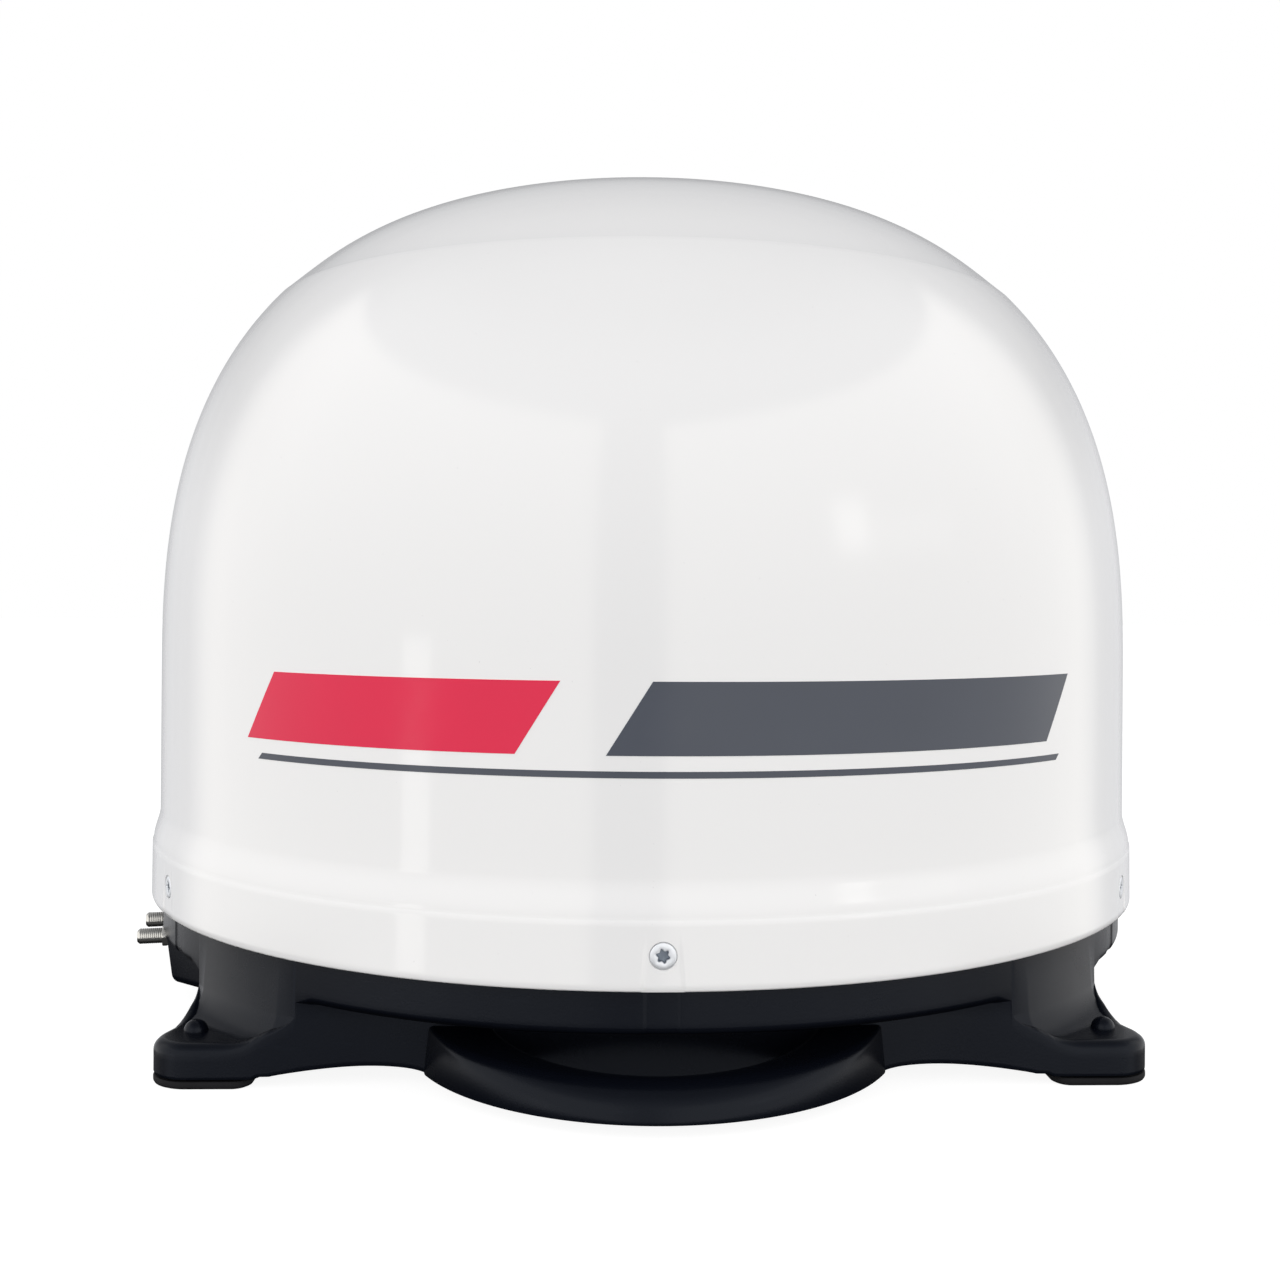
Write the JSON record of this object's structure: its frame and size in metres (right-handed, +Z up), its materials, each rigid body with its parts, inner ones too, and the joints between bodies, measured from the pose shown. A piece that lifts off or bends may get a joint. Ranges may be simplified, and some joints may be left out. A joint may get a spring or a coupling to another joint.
{
  "type": "portable dome antenna",
  "caption": "Portable dome antenna: a steered dish on a geared turntable under a round glossy radome, on a black moulded base with feet and carry handle.",
  "frame": {"origin": "on the ground under the middle of the bounding box; the dome's axis stands 2.37 mm to +X and 2.16 mm to +Y of it", "axes": "+Z up, -Y towards the carry handle, -X towards the two coax sockets"},
  "size_m": [0.4368, 0.4364, 0.3479],
  "materials": {
    "gloss_white": "high gloss, smooth",
    "black_plastic": "satin, fine moulded grain",
    "rubber": "matt",
    "nickel": "bright nickel plate",
    "steel": "plain stainless",
    "zinc_plate": "zinc plated sheet",
    "cast_metal": "as cast",
    "motor_metal": "satin dark grey",
    "painted_white": "satin powder coat",
    "nylon": "satin natural nylon",
    "circuit_board": "green solder mask",
    "cable": "satin jacket"
  },
  "bodies": {
    "base": {"base_chassis": "black_plastic", "foot_pad_front_left": "rubber", "foot_pad_front_right": "rubber", "foot_pad_rear_left": "rubber", "foot_pad_rear_right": "rubber", "coax_socket_1": "nickel", "coax_socket_2": "nickel", "socket_nut_1": "nickel", "socket_nut_2": "nickel", "coax_jumper_1": "cable", "coax_jumper_2": "cable", "control_board": "circuit_board", "azimuth_ring_gear": "nylon", "azimuth_spindle": "steel", "thrust_washer": "nylon", "spindle_nut": "steel"},
    "turntable": {"turntable_plate": "zinc_plate", "upright_left": "zinc_plate", "upright_right": "zinc_plate", "upright_screw_1": "steel", "upright_screw_2": "steel", "upright_screw_3": "steel", "upright_screw_4": "steel", "azimuth_motor": "motor_metal", "elevation_motor": "motor_metal", "pivot_bolt_left": "steel", "pivot_bolt_right": "steel"},
    "azimuth_pinion": {"azimuth_pinion": "nylon"},
    "elevation_pinion": {"elevation_pinion": "nylon"},
    "reflector": {"reflector_dish": "painted_white", "reflector_frame": "zinc_plate", "dish_mount_ring": "nylon", "dish_bolt_1": "steel", "dish_bolt_2": "steel", "dish_bolt_3": "steel", "dish_bolt_4": "steel", "sector_gear": "nylon", "feed_waveguide": "cast_metal", "feed_cone": "nylon", "sub_reflector": "cast_metal", "lnb_body": "cast_metal", "pivot_spacer": "nylon"},
    "radome": {"radome": "gloss_white", "skirt_gasket": "rubber", "radome_screw_1": "steel", "radome_screw_2": "steel", "radome_screw_3": "steel", "radome_screw_4": "steel", "radome_screw_5": "steel", "radome_screw_6": "steel", "radome_nut_1": "steel", "radome_nut_2": "steel", "radome_nut_3": "steel", "radome_nut_4": "steel", "radome_nut_5": "steel", "radome_nut_6": "steel"}
  },
  "joints": [
    {"name": "azimuth", "type": "hinge", "parent": "base", "child": "turntable", "pos_m": [0.00237, 0.00216, 0.055], "axis": [0, 0, 1], "range_deg": [-180, 180]},
    {"name": "azimuth_pinion_spin", "type": "hinge", "parent": "turntable", "child": "azimuth_pinion", "pos_m": [0.00237, 0.05646, 0.04], "axis": [0, 0, 1], "range_deg": [-900, 900]},
    {"name": "elevation", "type": "hinge", "parent": "turntable", "child": "reflector", "pos_m": [0.00237, 0.00216, 0.186], "axis": [-1, 0, 0], "range_deg": [-25, 25]},
    {"name": "elevation_pinion_spin", "type": "hinge", "parent": "turntable", "child": "elevation_pinion", "pos_m": [-0.09863, 0.00216, 0.1137], "axis": [-1, 0, 0], "range_deg": [-125, 125]},
    {"name": "radome_lift", "type": "slide", "parent": "base", "child": "radome", "axis": [0, 0, 1], "range_m": [0, 0.3]}
  ],
  "couplings": [
    {"joint": "azimuth_pinion_spin", "follows": "azimuth", "ratio": 5},
    {"joint": "elevation_pinion_spin", "follows": "elevation", "ratio": -5}
  ]
}
